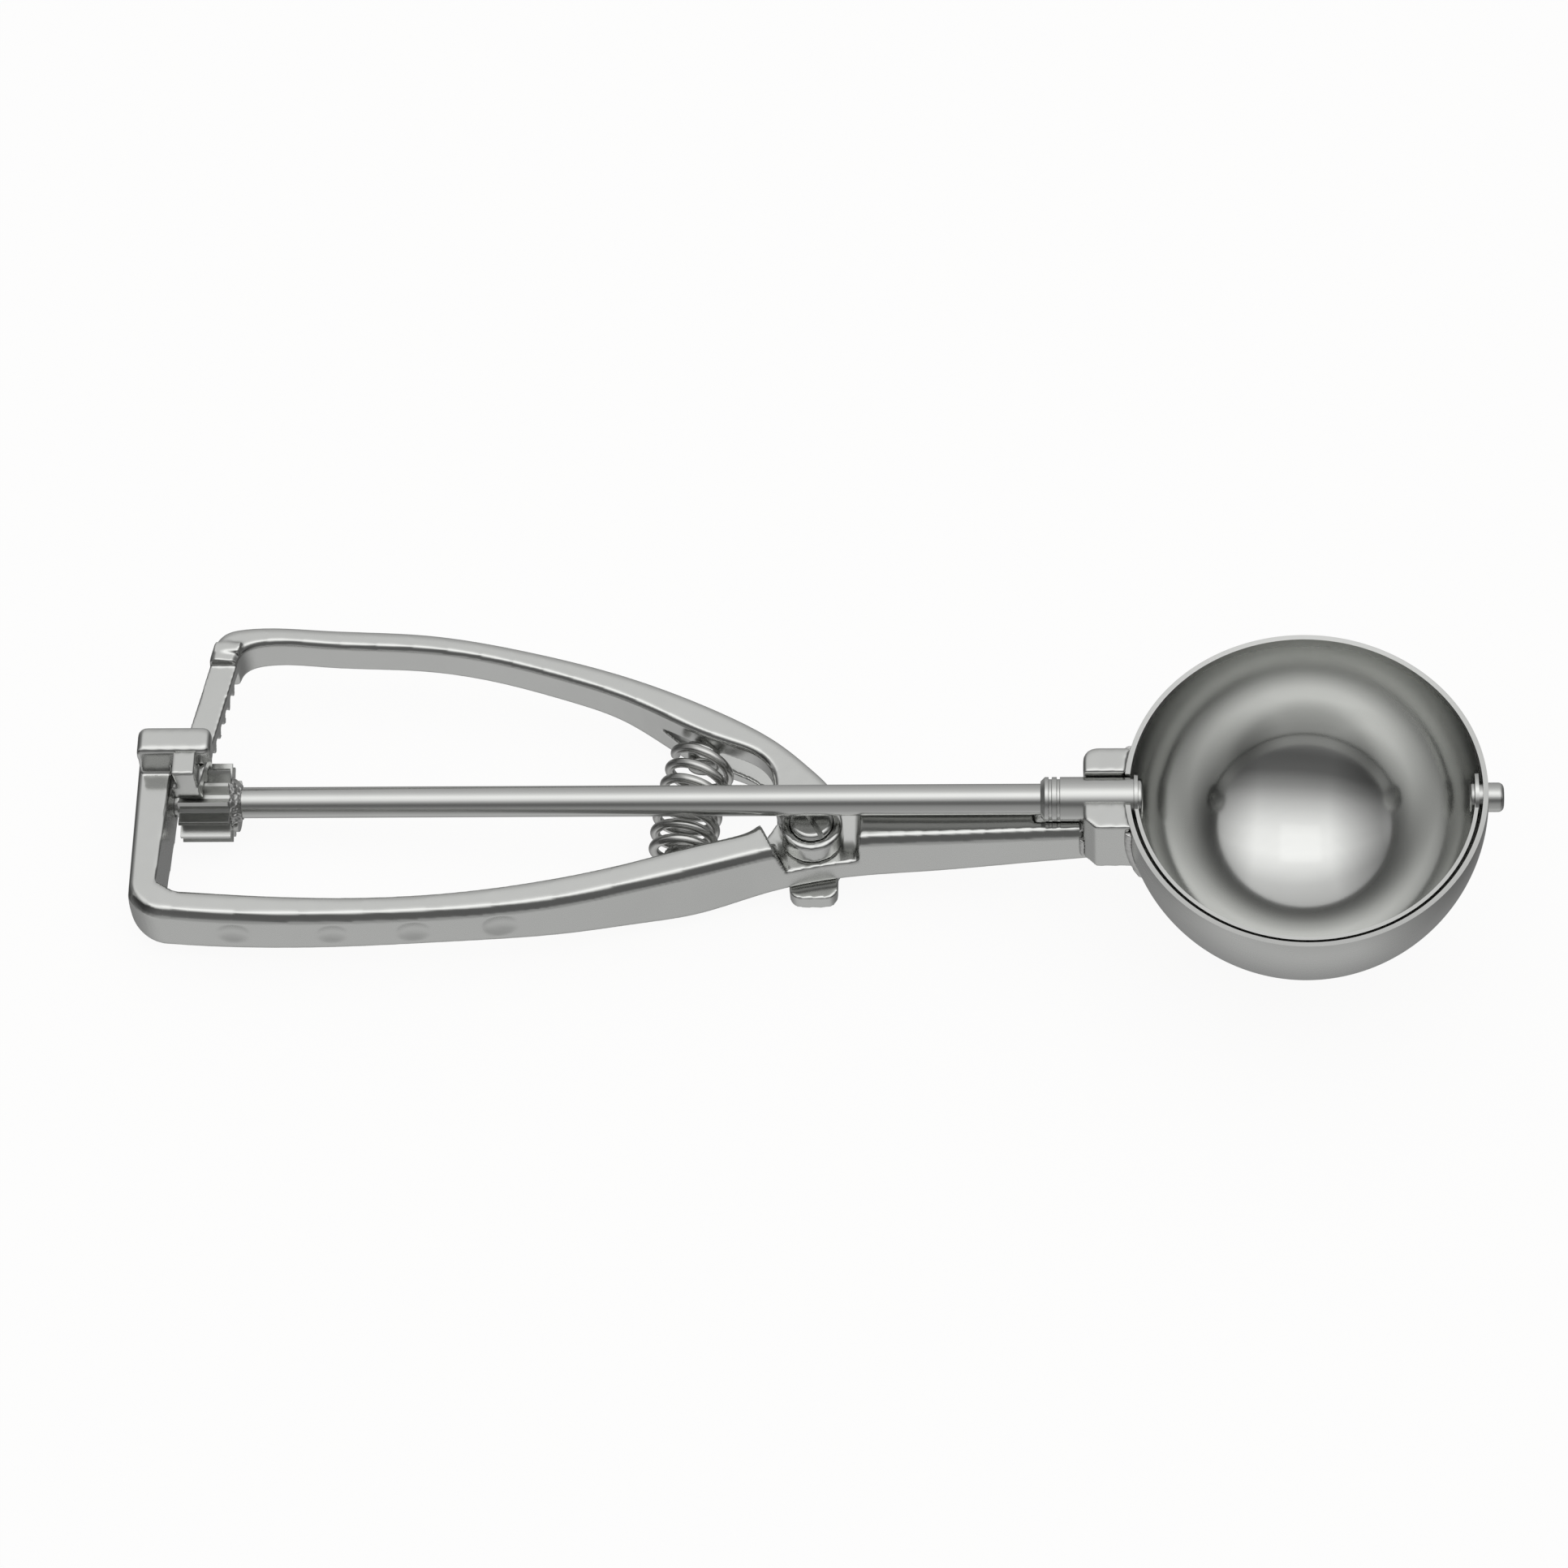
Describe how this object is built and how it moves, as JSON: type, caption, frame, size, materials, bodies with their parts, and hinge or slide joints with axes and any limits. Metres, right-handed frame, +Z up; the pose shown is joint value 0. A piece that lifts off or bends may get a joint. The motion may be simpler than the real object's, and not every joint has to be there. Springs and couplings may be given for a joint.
{
  "type": "ice scoop",
  "caption": "Stainless squeeze-handle scoop: a lever's rack turns a rod that sweeps a curved blade through a round bowl to drop the scooped ball.",
  "frame": {"origin": "point on the table straight under the centre of the bowl, with the scoop lying on its bowl and on the pinion", "axes": "+X along the tool from the handles towards the tip of the bowl, +Y from the frame's handle towards the lever, +Z up; the drive rod slopes up towards the bowl by 7.26 degrees"},
  "size_m": [0.2174, 0.058, 0.0366],
  "materials": {
    "cast_frame": "satin cast stainless with polished top edges",
    "cast_holder": "satin cast stainless",
    "bowl_steel": "mirror-polished inside, brushed outside",
    "weld_metal": "fine brazed bead",
    "cast_lever": "satin cast stainless with a polished top edge",
    "screw_steel": "polished, domed and slotted",
    "spring_steel": "bright drawn wire",
    "rod_steel": "lightly brushed bright bar",
    "pinion_steel": "cast and tumbled",
    "blade_steel": "polished spring strip",
    "pin_steel": "turned and satin"
  },
  "bodies": {
    "scoop_body": {"frame_casting": "cast_frame", "bowl_holder": "cast_holder", "bowl": "bowl_steel", "holder_weld": "weld_metal", "neck_weld": "weld_metal", "return_spring": "spring_steel"},
    "squeeze_lever": {"lever": "cast_lever", "pivot_screw": "screw_steel"},
    "blade_shaft": {"drive_rod": "rod_steel", "rod_sleeve": "rod_steel", "pinion": "pinion_steel", "pinion_weld": "weld_metal", "sweep_blade": "blade_steel", "blade_rivet": "blade_steel", "tip_pin": "pin_steel"}
  },
  "joints": [
    {"name": "lever_squeeze", "type": "hinge", "parent": "scoop_body", "child": "squeeze_lever", "pos_m": [-0.07688, -0.0015, 0.00736], "axis": [-0.1264, 0, 0.992], "range_deg": [0, 9], "stiffness_Nm_per_rad": 5, "springref_deg": -5.73, "deforming": ["return_spring"]},
    {"name": "blade_turn", "type": "hinge", "parent": "scoop_body", "child": "blade_shaft", "pos_m": [-0.03472, 0, 0.02458], "axis": [0.992, 0, 0.1264], "range_deg": [0, 164]}
  ],
  "couplings": [
    {"joint": "blade_turn", "follows": "lever_squeeze", "ratio": 18.148}
  ]
}
